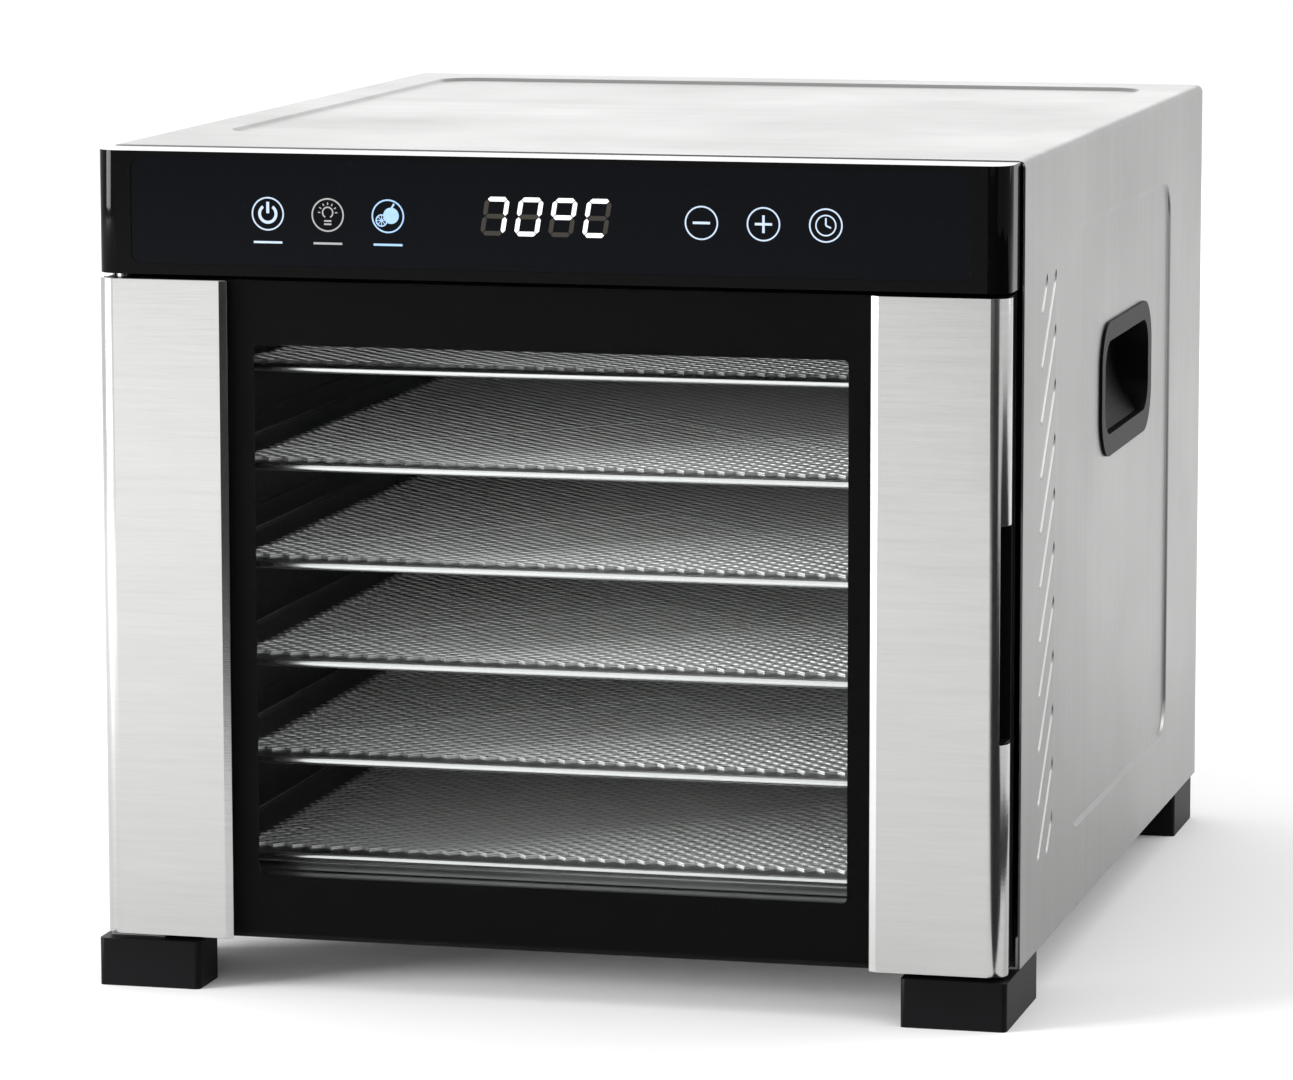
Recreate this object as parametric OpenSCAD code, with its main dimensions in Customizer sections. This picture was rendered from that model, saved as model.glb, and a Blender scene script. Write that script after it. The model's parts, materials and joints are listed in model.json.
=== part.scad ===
// Cabinet food dehydrator: steel casing, glass door, six mesh trays, rear fan and heater.
// Millimetres. +X is the right-hand side, -Y is the front, +Z is up.
// The origin is on the surface it stands on, under the middle of the overall depth.

/* [Cabinet] */
// Width of the steel casing
body_w = 347; // [345:1:351]
// Depth of the steel casing, front edge to rear edge
body_d = 412; // [410:1:424]
// Height of the top above the surface it stands on
body_h = 315; // [314:1:322]
// Thickness of the sheet steel
sheet_t = 0.8; // [0.8:0.1:1.2]
// Outside bend radius between the top and the sides
bend_r = 3; // [2:0.5:6]
// Depth of the pressed fields in the top and the sides
field_depth = 1.2; // [1:0.1:1.5]
// Corner radius of the pressed fields
field_r = 15; // [8:1:24]

/* [Louvres] */
// Width of one pressed louvre
louvre_w = 5; // [4:0.5:6]
// Depth of the louvre blade behind the sheet
louvre_depth = 3.2; // [2.4:0.2:4]
// Vertical distance between louvres
louvre_pitch = 20.4; // [18:0.2:24]
// Angle of the louvres above level, in degrees
louvre_angle = 48; // [40:1:60]

/* [Handles] */
// Length of the handle flange along the side
handle_l = 117; // [110:1:119]
// Height of the handle flange
handle_h = 53; // [50:0.1:54]
// Depth of the finger scoop
scoop_depth = 14; // [10:0.5:14.5]
// Radius of the curved floor of the scoop
scoop_r = 30; // [28:1:34]

/* [Feet] */
// Height of the feet
foot_h = 18; // [16:1:20]
// Width of each foot across the front
foot_w = 39.5; // [34:0.5:44]
// How far the front feet reach out past the casing
foot_reach = 26; // [25:0.5:27]

/* [Door] */
// Distance from the casing's front edge to the door's front face
door_reach = 23.3; // [23:0.1:24]
// Lowest point of the door above the surface
door_z = 19.4; // [19.4:0.1:20]
// Height of the door
door_h = 247.8; // [247:0.1:248]
// Width of each steel pillar on the door
pillar_w = 50.5; // [44:0.5:52]
// Radius of the outer vertical corners of the door
pillar_r = 6.6; // [5:0.1:7]
// Thickness of the glass
glass_t = 4; // [3:0.5:4]
// Width of the clear window
window_w = 225; // [210:1:230]
// Lower edge of the clear window
window_z = 43.3; // [42:0.1:45]
// Height of the clear window
window_h = 199.9; // [190:0.1:205]

/* [Control panel] */
// Lower edge of the control bezel
bezel_z = 269; // [268.8:0.1:269.5]
// Radius of the outer vertical corners of the bezel
bezel_r = 8; // [6:0.5:10]
// Width of the touch glass
touch_w = 316; // [300:1:320]
// Distance from the middle to the three touch keys of each group
key_x = [59, 82, 105]; // [50:0.5:115]
// Height of the row of keys
key_z = 292.3; // [291:0.1:294]

/* [Trays] */
// Number of trays; each one is a node of its own
tray_count = 6; // [6]
// Width of a tray
tray_w = 303; // [301:1:304]
// Depth of a tray, front to rear
tray_d = 330; // [310:1:332]
// Height of the lowest tray
tray_z = 45.5; // [45.5:0.1:46.5]
// Distance between one tray and the next
tray_pitch = 37.2; // [36:0.1:37.3]
// Radius of the rolled edge of a tray
roll_r = 1.6; // [1.4:0.1:1.8]
// Width of the flat rim around the mesh
rim_w = 20; // [10:1:22]
// Thickness of the tray mesh
mesh_t = 0.6; // [0.5:0.1:1]

/* [Fan and heater] */
// Radius of the fan at the blade tips
fan_r = 72; // [60:1:74]
// Number of fan blades
fan_blades = 6; // [4:1:7]
// Radius of the ring heater
heater_r = 84; // [82:1:88]
// Radius of the heater tube
heater_tube_r = 3.5; // [3:0.25:4]
// Height of the fan axis
fan_z = 149; // [147:1:151]

/* [Hidden] */
$fn = 48;

// Depths, front to rear
vent_d = 12;
overall_d = foot_reach + body_d + vent_d;
front_y = -overall_d / 2 + foot_reach;
rear_y = front_y + body_d;
door_y = front_y - door_reach;
frame_front_y = front_y - 3;
door_rear_y = frame_front_y - 0.5;
liner_rear_y = front_y + 346;

// Heights and half widths
half_w = body_w / 2;
inner_half_w = half_w - sheet_t;
door_half_w = half_w - 1.4;
door_top = door_z + door_h;
chamber_half_w = 155;
chamber_z = 40;
chamber_top = 258;
mouth_half_w = 152;
window_half_w = window_w / 2;

// Pressed fields of the casing
side_field = [front_y + 105, 49.5, front_y + 331, 281];
top_field = [-153, front_y + 70, 153, front_y + 388];

// Louvres
louvre_top_y = front_y + 65.5;
louvre_low_y = front_y + 34.9;
louvre_first_z = 268.5;
louvre_last_z = 50.3;
louvre_rows = [-1 : 10];
louvre_end_gap = 0.15;
louvre_root = 0.5;

// Handles
handle_y = front_y + 167.6;
handle_z = 184.4;
handle_r = 18;
pocket = [handle_y + 6.7, handle_z + 8.7, handle_y + handle_l - 8, handle_z + handle_h - 7.4];
pocket_r = 12;
handle_wall = 1.8;
scoop_x = half_w - scoop_depth;
scoop_z = pocket[3] - 14;

// Feet
foot_bar = 23.5;
foot_leg_w = 24;
foot_front_len = 62;
foot_rear_len = 46;
foot_rear_y = front_y + 357;
foot_r = 2;
foot_screw_x = half_w - 12;
foot_screw_places = [
  [foot_screw_x, front_y + 8], [foot_screw_x, front_y + 28],
  [foot_screw_x, foot_rear_y + 10], [foot_screw_x, foot_rear_y + 34]
];
foot_screw_r = 2;
foot_head_r = 4;
foot_head_h = 3;
foot_recess = 9;

// Glass, pillars and the door's hinge
glass_y = door_y + 1.3;
glass_rear_y = glass_y + glass_t;
glass = [-163, door_z + 1.6, 163, door_top + 0.2];
glass_r = 3;
pillar_t = 1.3;
pillar_in_x = door_half_w - pillar_w;
pillar_bevel = 2.7;
pillar_return_y = front_y - 15.2;
frame_half_w = door_half_w - pillar_t - 0.3;
frame_shoulder_x = 163.2;
frame_margin = 5;
frame_step = 0.5;
frame_gap = 0.2;
frame_open = [
  -window_half_w - frame_margin, window_z - frame_margin / 2,
  window_half_w + frame_margin, window_z + window_h + frame_margin / 2
];
notch = [105, 185];
notch_y = front_y - 22;
notch_rear_y = front_y - 6.5;
notch_x = 160;
hinge_x = -165;
hinge_y = front_y - 12;
pin_r = 2.5;
pin_clearance = 0.05;
bush_r = 4.5;
swing_r = 6;
bracket_t = 1;
bracket = [-171, hinge_y - 6.5, -150, front_y];
pin_grip = 14;
upper_pin_top = bezel_z + 7;
lower_pin_end = 12;

// Seal, magnets and catch plates
seal = [-157, 31, 157, 263];
seal_w = 4;
seal_t = 2;
magnet = [10, 4, 22];
magnet_x = 164.5;
magnet_z = [62, 226];
catch_t = 1;

// Control panel
bezel_wall = 2.5;
bezel_top = body_h - 0.3;
bezel_rear_y = frame_front_y;
touch = [-touch_w / 2, bezel_z + 4, touch_w / 2, bezel_top - 2];
touch_t = 1.4;
touch_set = 0.3;
touch_rear_y = door_y + touch_set + touch_t;
display = [52, 19];
display_t = 6;
board_half_w = 149;
board_z = [bezel_z + 6, bezel_top - 5];
board_y = door_y + 9;
touch_r = 4;
board_t = 1.6;
spring_r = 3.5;
spring_wall = 0.8;

// Trays and rails
tray_front_y = front_y + 9;
tray_half_w = tray_w / 2;
rim_t = 1;
rail_t = 1;
rail_in_x = 146;
rail_leg = 9;
rail_gap = 0.3;
drip_half_w = 145;
drip_z = chamber_z + 0.6;
drip_h = 3;
drip_front_y = front_y + 8;
drip_d = 326;
drip_t = 0.8;
drip_r = 5;

// Rear compartment
fan_cover_y = liner_rear_y - sheet_t;
panel_y = rear_y - sheet_t;
blade_y = liner_rear_y + 15;
blade_w = 22;
blade_t = 1.2;
blade_pitch = 28;
hub_r = 12;
hub_d = 12;
shaft_r = 3;
shaft_y = [liner_rear_y + 4, liner_rear_y + 53];
nut_y = liner_rear_y + 5;
nut_t = 4;
nut_r = 6;
motor_y = [liner_rear_y + 29, liner_rear_y + 58];
motor_r = 28;
heater_y = liner_rear_y + 17;
sensor_x = 118;
sensor_z = 239;
sensor_r = 2.5;
cutout = [118, 206];
cutout_size = [8, 9];
uv_y = fan_cover_y - 10;
uv_z = 251;
uv_half = 90;
uv_r = 5;
vent_step = 13;
vent_rings = 5;
rear_hole_r = 3;
cover_hole_r = 3.6;
rear_screw_x = 160;
rear_screw_z = [40, 165, 300];
rear_screw_r = 1.5;
gland_x = 130;
gland_z = 46;
gland_bore_r = 3.5;
gland_neck_r = 7;
gland_cap_r = 10;
gland_cap_l = 8;

// Colours
steel = [0.78, 0.78, 0.77];
dark_steel = [0.45, 0.45, 0.46];
black = [0.06, 0.06, 0.07];
gloss_black = [0.02, 0.02, 0.025];
glass_tint = [0.6, 0.65, 0.68, 0.35];
board_green = [0.08, 0.3, 0.16];
brass = [0.72, 0.58, 0.32];
silicone = [0.12, 0.12, 0.13];
mica = [0.72, 0.62, 0.45];
white = [0.9, 0.92, 0.95];

// ---- Shared shapes ----

// Extrudes an X-Z outline along Y
module along_y(y0, y1) {
  translate([0, y1, 0])
    rotate([90, 0, 0])
      linear_extrude(y1 - y0)
        children();
}

// Extrudes a Y-Z outline along X
module along_x(x0, x1) {
  translate([x0, 0, 0])
    rotate([90, 0, 90])
      linear_extrude(x1 - x0)
        children();
}

// Extrudes an X-Y outline along Z
module along_z(z0, z1) {
  translate([0, 0, z0])
    linear_extrude(z1 - z0)
      children();
}

// A block between two corners
module block(low, high) {
  translate(low)
    cube(high - low);
}

// A rod along Y
module rod_y(x, z, r, y0, y1) {
  translate([x, y1, z])
    rotate([90, 0, 0])
      cylinder(h = y1 - y0, r = r);
}

// A rod along Z
module rod_z(x, y, r, z0, z1) {
  translate([x, y, z0])
    cylinder(h = z1 - z0, r = r);
}

// Rectangle [left, low, right, high] with rounded corners
module round_rect(box, r) {
  w = box[2] - box[0];
  h = box[3] - box[1];
  translate([box[0] + r, box[1]])
    square([w - 2 * r, h]);
  translate([box[0], box[1] + r])
    square([w, h - 2 * r]);
  for (x = [box[0] + r, box[2] - r], y = [box[1] + r, box[3] - r])
    translate([x, y])
      circle(r);
}

// A rectangle grown by m on every edge
function grown(box, m) = [box[0] - m, box[1] - m, box[2] + m, box[3] + m];

// Outline that is square below and rounded at its two upper corners
module arch(half, low, high, r) {
  translate([-half, low])
    square([2 * half, high - low - r]);
  translate([-half + r, low])
    square([2 * (half - r), high - low]);
  for (s = [-1, 1])
    translate([s * (half - r), high - r])
      circle(r);
}

// Rectangular ring of a stated width, with rounded corners
module ring(box, width, r) {
  difference() {
    round_rect(box, r);
    round_rect(grown(box, -width), max(r - width, 1));
  }
}

// Children as drawn on the right, or mirrored to the left
module on_side(side) {
  if (side > 0)
    children();
  else
    mirror([1, 0, 0])
      children();
}

// ---- Casing ----

// Stretches of the louvres, cut off at the top and bottom of their row
function louvre_span(row) =
  let (
    top = louvre_first_z - row * louvre_pitch,
    low = top - (louvre_top_y - louvre_low_y) * tan(louvre_angle),
    z_high = min(top, louvre_first_z),
    z_low = max(low, louvre_last_z)
  )
  [z_low, z_high, louvre_low_y + (z_low - low) / tan(louvre_angle),
   louvre_low_y + (z_high - low) / tan(louvre_angle)];

// Children laid along one louvre: local Y runs up and back along it, local Z points up and forward
module at_louvre(row) {
  span = louvre_span(row);
  translate([half_w, (span[2] + span[3]) / 2, (span[0] + span[1]) / 2])
    rotate([louvre_angle, 0, 0])
      children();
}

function louvre_half(row) =
  let (span = louvre_span(row)) (span[1] - span[0]) / sin(louvre_angle) / 2;

module louvre_slots() {
  for (row = louvre_rows) {
    reach = louvre_half(row);
    at_louvre(row)
      block([-2 * sheet_t, -reach, -louvre_w / 2], [sheet_t, reach, louvre_w / 2]);
  }
}

// The blade is rooted in the sheet below the louvre and runs inwards to the open slit at its upper edge
module louvre_blades() {
  root = louvre_w / 2 + louvre_root;
  skin = sheet_t / 5;
  for (row = louvre_rows) {
    reach = louvre_half(row) - louvre_end_gap;
    at_louvre(row)
      along_y(-reach, reach)
        polygon([
          [-skin, -root],
          [-louvre_depth, louvre_w / 2],
          [-louvre_depth - sheet_t + skin, louvre_w / 2],
          [-sheet_t + skin, -root]
        ]);
  }
}

module casing_sheet() {
  difference() {
    along_y(front_y, rear_y)
      arch(half_w, foot_h, body_h, bend_r);
    along_y(front_y - 1, rear_y + 1)
      arch(inner_half_w, foot_h - 1, body_h - sheet_t, bend_r - sheet_t);
  }
}

// Lip bent inwards at the rear, which the rear panel is screwed to
module rear_lip() {
  lip = 20;
  low = foot_h + 14;
  difference() {
    along_y(panel_y - sheet_t, panel_y)
      arch(inner_half_w + sheet_t / 2, low, body_h - sheet_t / 2, bend_r);
    along_y(panel_y - 1 - sheet_t, panel_y + 1)
      arch(inner_half_w - lip, low - 1, body_h - sheet_t - lip, bend_r);
    rear_screw_rods(rear_screw_r, panel_y - 2 - sheet_t, panel_y + 1);
  }
}

module casing() {
  field_back = field_depth + sheet_t;
  color(steel) {
    difference() {
      union() {
        casing_sheet();
        for (side = [-1, 1])
          on_side(side)
            along_x(half_w - field_back, half_w - sheet_t)
              round_rect(grown(side_field, sheet_t), field_r + sheet_t);
        along_z(body_h - field_back, body_h - sheet_t)
          round_rect(grown(top_field, sheet_t), field_r + sheet_t);
      }
      for (side = [-1, 1])
        on_side(side) {
          along_x(half_w - field_depth, half_w + 1)
            round_rect(side_field, field_r);
          along_x(half_w - field_back - 1, half_w)
            round_rect(grown(pocket, handle_wall), pocket_r + handle_wall);
          louvre_slots();
        }
      along_z(body_h - field_depth, body_h + 1)
        round_rect(top_field, field_r);
    }
    for (side = [-1, 1])
      on_side(side)
        louvre_blades();
    rear_lip();
  }
}

module base_pan() {
  slot_xs = [-90 : 30 : 90];
  slot_y = [120, 190];
  slot_half_w = 3;
  flange_h = 12;
  color(dark_steel)
    difference() {
      union() {
        block([-inner_half_w, front_y, foot_h], [inner_half_w, panel_y, foot_h + sheet_t]);
        for (side = [-1, 1])
          on_side(side)
            block([inner_half_w - sheet_t, front_y, foot_h], [inner_half_w, panel_y, foot_h + flange_h]);
      }
      for (x = slot_xs)
        along_z(foot_h - 1, foot_h + 2)
          round_rect([x - slot_half_w, slot_y[0], x + slot_half_w, slot_y[1]], slot_half_w - 0.1);
      foot_holes();
    }
}

// Rings of round holes in front of and behind the fan
module vent_rods(r, y0, y1) {
  for (n = [1 : vent_rings], k = [0 : 6 * n - 1])
    rod_y(n * vent_step * cos(60 * k / n), fan_z + n * vent_step * sin(60 * k / n), r, y0, y1);
}

module rear_panel() {
  color(dark_steel)
    difference() {
      along_y(panel_y, rear_y)
        arch(inner_half_w, foot_h + sheet_t, body_h - sheet_t, bend_r - sheet_t);
      vent_rods(rear_hole_r, panel_y - 1, rear_y + 1);
      rear_screw_rods(rear_screw_r, panel_y - 1, rear_y + 1);
      rod_y(gland_x, gland_z, gland_neck_r, panel_y - 1, rear_y + 1);
    }
}

module rear_vent_cover() {
  cover = [-88, fan_z - 80, 88, fan_z + 80];
  corner_r = 8;
  wall = 3;
  slat_pitch = 10;
  slat_t = 4;
  slat_y = rear_y + 4;
  color(black) {
    along_y(rear_y, rear_y + vent_d)
      ring(cover, wall, corner_r);
    for (z = [cover[1] + slat_pitch : slat_pitch : cover[3] - slat_pitch])
      block([cover[0] + wall, slat_y, z - slat_t / 2], [cover[2] - wall, rear_y + vent_d, z + slat_t / 2]);
  }
}

// ---- Front frame and chamber ----

module front_frame() {
  frame_outer = [-inner_half_w + 2, foot_h + 1.8, inner_half_w - 2, body_h - 2];
  lead_window = [-60, bezel_z + 12, 60, bezel_z + 34];
  color(black)
    difference() {
      along_y(frame_front_y, front_y)
        round_rect(frame_outer, 3);
      along_y(frame_front_y - 1, front_y + 1)
        round_rect([-mouth_half_w, chamber_z, mouth_half_w, chamber_top - 2], 5);
      along_y(frame_front_y - 1, front_y + 1)
        round_rect(lead_window, 3);
      for (z = magnet_z)
        catch_block(z);
    }
}

// A catch plate, which fills its own pocket in the front frame
module catch_block(z) {
  block([magnet_x - magnet[0] / 2, frame_front_y, z - magnet[2] / 2 - 2],
        [magnet_x + magnet[0] / 2, frame_front_y + catch_t, z + magnet[2] / 2 + 2]);
}

module catch_plates() {
  color(steel)
    for (z = magnet_z)
      catch_block(z);
}

module liner_side(side) {
  color(dark_steel)
    on_side(side)
      block([chamber_half_w, front_y, chamber_z - sheet_t],
            [chamber_half_w + sheet_t, liner_rear_y, chamber_top]);
}

module liner_left() {
  liner_side(-1);
}

module liner_right() {
  liner_side(1);
}

module liner_top() {
  color(dark_steel)
    block([-chamber_half_w - sheet_t, front_y, chamber_top],
          [chamber_half_w + sheet_t, liner_rear_y, chamber_top + sheet_t]);
}

module liner_floor() {
  color(dark_steel)
    block([-chamber_half_w, front_y, chamber_z - sheet_t], [chamber_half_w, liner_rear_y, chamber_z]);
}

function tray_height(n) = tray_z + (tray_count - n) * tray_pitch;

// One angle strip under each tray
module rails(side) {
  color(steel)
    for (n = [1 : tray_count]) {
      rail_top = tray_height(n) - roll_r - rail_gap;
      on_side(side) {
        block([rail_in_x, tray_front_y + 3, rail_top - rail_t],
              [chamber_half_w, tray_front_y + tray_d, rail_top]);
        block([chamber_half_w - rail_t, tray_front_y + 3, rail_top],
              [chamber_half_w, tray_front_y + tray_d, rail_top + rail_leg]);
      }
    }
}

module tray_rails_left() {
  rails(-1);
}

module tray_rails_right() {
  rails(1);
}

// ---- Fan, heater and sensors ----

module fan_cover() {
  slot_xs = [108 : 12 : 144];
  slot_zs = [48 : 38 : 200];
  slot = [4, 30];
  color(steel)
    difference() {
      block([-chamber_half_w, fan_cover_y, chamber_z], [chamber_half_w, liner_rear_y, chamber_top]);
      vent_rods(cover_hole_r, fan_cover_y - 1, liner_rear_y + 1);
      for (side = [-1, 1], x = slot_xs, z = slot_zs)
        on_side(side)
          along_y(fan_cover_y - 1, liner_rear_y + 1)
            round_rect([x - slot[0] / 2, z, x + slot[0] / 2, z + slot[1]], slot[0] / 2 - 0.1);
      rod_y(sensor_x, sensor_z, sensor_r, fan_cover_y - 1, liner_rear_y + 1);
    }
}

module fan_motor() {
  stack = [44, 14, 52];
  color(dark_steel)
    difference() {
      union() {
        rod_y(0, fan_z, motor_r, motor_y[0], motor_y[1]);
        block([-stack[0] / 2, motor_y[0] + 6, fan_z - motor_r - 16],
              [stack[0] / 2, motor_y[0] + 6 + stack[1], fan_z]);
      }
      rod_y(0, fan_z, shaft_r + pin_clearance, motor_y[0] - 1, shaft_y[1] + 1);
    }
}

module motor_bracket() {
  arm = [62, 16];
  arm_t = 1.5;
  color(steel) {
    block([-arm[0], motor_y[1], fan_z - arm[1]], [arm[0], motor_y[1] + arm_t, fan_z + arm[1]]);
    for (side = [-1, 1])
      on_side(side)
        block([arm[0] - arm_t, motor_y[1] + arm_t, fan_z - arm[1]], [arm[0], panel_y, fan_z + arm[1]]);
  }
}

module fan_blade() {
  color(steel)
    difference() {
      union() {
        rod_y(0, fan_z, hub_r, blade_y - hub_d / 2, blade_y + hub_d / 2);
        for (k = [0 : fan_blades - 1])
          translate([0, blade_y, fan_z])
            rotate([0, k * 360 / fan_blades, 0])
              rotate([0, 0, blade_pitch])
                block([-blade_w / 2, -blade_t / 2, hub_r / 2], [blade_w / 2, blade_t / 2, fan_r - 1]);
      }
      rod_y(0, fan_z, shaft_r, blade_y - hub_d, blade_y + hub_d);
    }
}

module fan_shaft() {
  color(steel)
    rod_y(0, fan_z, shaft_r, shaft_y[0], shaft_y[1]);
}

module fan_nut() {
  color(brass)
    difference() {
      translate([0, nut_y + nut_t, fan_z])
        rotate([90, 0, 0])
          cylinder(h = nut_t, r = nut_r, $fn = 6);
      rod_y(0, fan_z, shaft_r, nut_y - 1, nut_y + nut_t + 1);
    }
}

module heater_ring() {
  translate([0, heater_y, fan_z])
    rotate([90, 0, 0])
      rotate_extrude()
        translate([heater_r, 0])
          circle(heater_tube_r);
}

module heater_coil() {
  color([0.35, 0.3, 0.28])
    heater_ring();
}

module heater_supports() {
  strip = [heater_r - 6, heater_r + 10];
  strip_t = 1.5;
  color(mica)
    difference() {
      for (angle = [45 : 90 : 315])
        translate([0, 0, fan_z])
          rotate([0, angle, 0])
            block([-strip_t / 2, heater_y - 2 * heater_tube_r, strip[0]], [strip_t / 2, panel_y, strip[1]]);
      heater_ring();
    }
}

module thermal_cutout() {
  color(brass)
    rod_y(cutout[0], cutout[1], cutout_size[0], panel_y - cutout_size[1], panel_y);
}

module temperature_sensor() {
  color(steel) {
    rod_y(sensor_x, sensor_z, sensor_r, fan_cover_y - 8, liner_rear_y + 14);
    rod_y(sensor_x, sensor_z, sensor_r + 2, liner_rear_y, liner_rear_y + 3);
  }
}

module uv_lamp() {
  color(white)
    along_x(-uv_half, uv_half)
      translate([uv_y, uv_z])
        circle(uv_r);
}

module uv_lamp_holders() {
  holder_l = 10;
  color(black)
    for (side = [-1, 1])
      on_side(side)
        block([uv_half, uv_y - 6, uv_z - 6], [uv_half + holder_l, fan_cover_y, chamber_top]);
}

// ---- Control panel ----

// Plan of a bar across the front with rounded front corners
module front_plan(half, y0, y1, r) {
  translate([-half, y0 + r])
    square([2 * half, y1 - y0 - r]);
  translate([-half + r, y0])
    square([2 * (half - r), y1 - y0]);
  for (s = [-1, 1])
    translate([s * (half - r), y0 + r])
      circle(r);
}

module control_bezel() {
  sight = [-board_half_w + 9, board_z[0] + 4, board_half_w - 9, board_z[1] - 3];
  color(gloss_black)
    difference() {
      along_z(bezel_z, bezel_top)
        front_plan(door_half_w, door_y, bezel_rear_y, bezel_r);
      along_z(bezel_z + bezel_wall, bezel_top - bezel_wall)
        front_plan(door_half_w - bezel_wall, door_y + bezel_wall, bezel_rear_y + 1, bezel_r - bezel_wall);
      along_y(door_y - 1, touch_rear_y)
        round_rect(touch, touch_r);
      along_y(door_y - 1, door_y + bezel_wall + 1)
        round_rect(sight, touch_r);
      rod_z(hinge_x, hinge_y, bush_r, bezel_z - 1, bezel_z + bezel_wall + 1);
    }
}

module touch_glass() {
  color(gloss_black)
    along_y(door_y + touch_set, touch_rear_y)
      round_rect(touch, touch_r);
}

module touch_board() {
  post_r = 3;
  post_x = board_half_w - 5;
  color(board_green) {
    along_y(board_y, board_y + board_t)
      round_rect([-board_half_w, board_z[0], board_half_w, board_z[1]], 2);
    for (x = [-post_x, post_x], z = [board_z[0] + 5, board_z[1] - 5])
      rod_y(x, z, post_r, door_y + bezel_wall, board_y);
  }
}

module touch_springs() {
  color(steel)
    for (side = [-1, 1], x = key_x)
      difference() {
        rod_y(side * x, key_z, spring_r, touch_rear_y, board_y);
        rod_y(side * x, key_z, spring_r - spring_wall, touch_rear_y - 1, board_y + 1);
      }
}

module display_module() {
  color(black)
    block([-display[0] / 2, board_y - display_t, key_z - display[1] / 2],
          [display[0] / 2, board_y, key_z + display[1] / 2]);
}

module power_board() {
  board = [-80, -130, 80, -20];
  post_r = 3;
  post_h = 8;
  board_low = chamber_top + sheet_t + post_h;
  board_top = board_low + board_t;
  transformer = [42, 36, 26];
  transformer_at = [-62, -96, board_top];
  capacitor = [6, 18];
  capacitor_xs = [10 : 18 : 46];
  capacitor_y = -92;
  relay = [18, 16, 14];
  relay_xs = [10, 34];
  relay_y = -60;
  post_xs = [board[0] + 8, board[2] - 8];
  post_ys = [board[1] + 8, board[3] - 8];
  color(board_green) {
    along_z(board_low, board_top)
      round_rect(board, post_r);
    for (x = post_xs, y = post_ys)
      rod_z(x, y, post_r, chamber_top + sheet_t, board_low);
    block(transformer_at, transformer_at + transformer);
    for (x = capacitor_xs)
      rod_z(x, capacitor_y, capacitor[0], board_top, board_top + capacitor[1]);
    for (x = relay_xs)
      block([x, relay_y, board_top], [x, relay_y, board_top] + relay);
  }
}

// ---- Handles, feet and fasteners ----

// Section of the finger scoop, grown by m for the outside of its wall
module scoop_section(m) {
  centre_x = scoop_x + scoop_r;
  spare = 4;
  intersection() {
    translate([scoop_x - m, pocket[1] - spare])
      square([scoop_depth + m + 1, pocket[3] - pocket[1] + 2 * spare]);
    union() {
      translate([centre_x, scoop_z])
        circle(scoop_r + m);
      translate([scoop_x - m, scoop_z])
        square([scoop_depth + m + 1, pocket[3] - scoop_z + spare]);
    }
  }
}

module handle_side(side) {
  flange = [handle_y, handle_z, handle_y + handle_l, handle_z + handle_h];
  color(black)
    on_side(side)
      difference() {
        union() {
          along_x(half_w - field_depth, half_w)
            round_rect(flange, handle_r);
          intersection() {
            along_x(scoop_x - handle_wall, half_w - field_depth)
              round_rect(grown(pocket, handle_wall), pocket_r + handle_wall);
            along_y(pocket[0] - handle_wall - 1, pocket[2] + handle_wall + 1)
              scoop_section(handle_wall);
          }
        }
        intersection() {
          along_x(scoop_x - 1, half_w + 1)
            round_rect(pocket, pocket_r);
          along_y(pocket[0] - 1, pocket[2] + 1)
            scoop_section(0);
        }
      }
}

module handle_left() {
  handle_side(-1);
}

module handle_right() {
  handle_side(1);
}

module at_foot_screws() {
  for (side = [-1, 1], place = foot_screw_places)
    translate([side * place[0], place[1], 0])
      children();
}

module foot_holes() {
  at_foot_screws()
    cylinder(h = foot_h + 4, r = foot_screw_r);
}

// The cross bar and the leg of one L-shaped foot
module foot_plan(bar_y, leg_y0, leg_y1) {
  inner = half_w - foot_w;
  round_rect([inner, bar_y, half_w, bar_y + foot_bar], foot_r);
  round_rect([half_w - foot_leg_w, leg_y0, half_w, leg_y1], foot_r);
}

module foot_sink() {
  foot_holes();
  at_foot_screws()
    translate([0, 0, -1])
      cylinder(h = foot_recess + 1, r = foot_head_r + 0.5);
}

module front_feet() {
  y0 = front_y - foot_reach;
  color(black)
    difference() {
      for (side = [-1, 1])
        on_side(side)
          along_z(0, foot_h)
            foot_plan(y0, y0, y0 + foot_front_len);
      foot_sink();
      rod_z(hinge_x, hinge_y, bush_r + 0.3, foot_h - 8, foot_h + 1);
    }
}

module rear_feet() {
  color(black)
    difference() {
      for (side = [-1, 1])
        on_side(side)
          along_z(0, foot_h)
            foot_plan(foot_rear_y + foot_rear_len - foot_bar, foot_rear_y, foot_rear_y + foot_rear_len);
      foot_sink();
    }
}

module foot_screws() {
  color(steel)
    at_foot_screws() {
      translate([0, 0, foot_recess - foot_head_h])
        cylinder(h = foot_head_h, r = foot_head_r);
      translate([0, 0, foot_recess])
        cylinder(h = foot_h + sheet_t + 2 - foot_recess, r = foot_screw_r);
    }
}

module rear_screw_rods(r, y0, y1) {
  for (x = [-rear_screw_x, rear_screw_x], z = rear_screw_z)
    rod_y(x, z, r, y0, y1);
}

module rear_screws() {
  color(steel) {
    rear_screw_rods(rear_screw_r, panel_y - 6, rear_y);
    rear_screw_rods(2 * rear_screw_r, rear_y, rear_y + 2);
  }
}

module cable_gland() {
  color(black)
    difference() {
      union() {
        rod_y(gland_x, gland_z, gland_neck_r, panel_y - 6, rear_y);
        rod_y(gland_x, gland_z, gland_cap_r, rear_y, rear_y + gland_cap_l);
      }
      rod_y(gland_x, gland_z, gland_bore_r, panel_y - 7, rear_y + gland_cap_l + 1);
    }
}

// ---- Door ----

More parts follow.
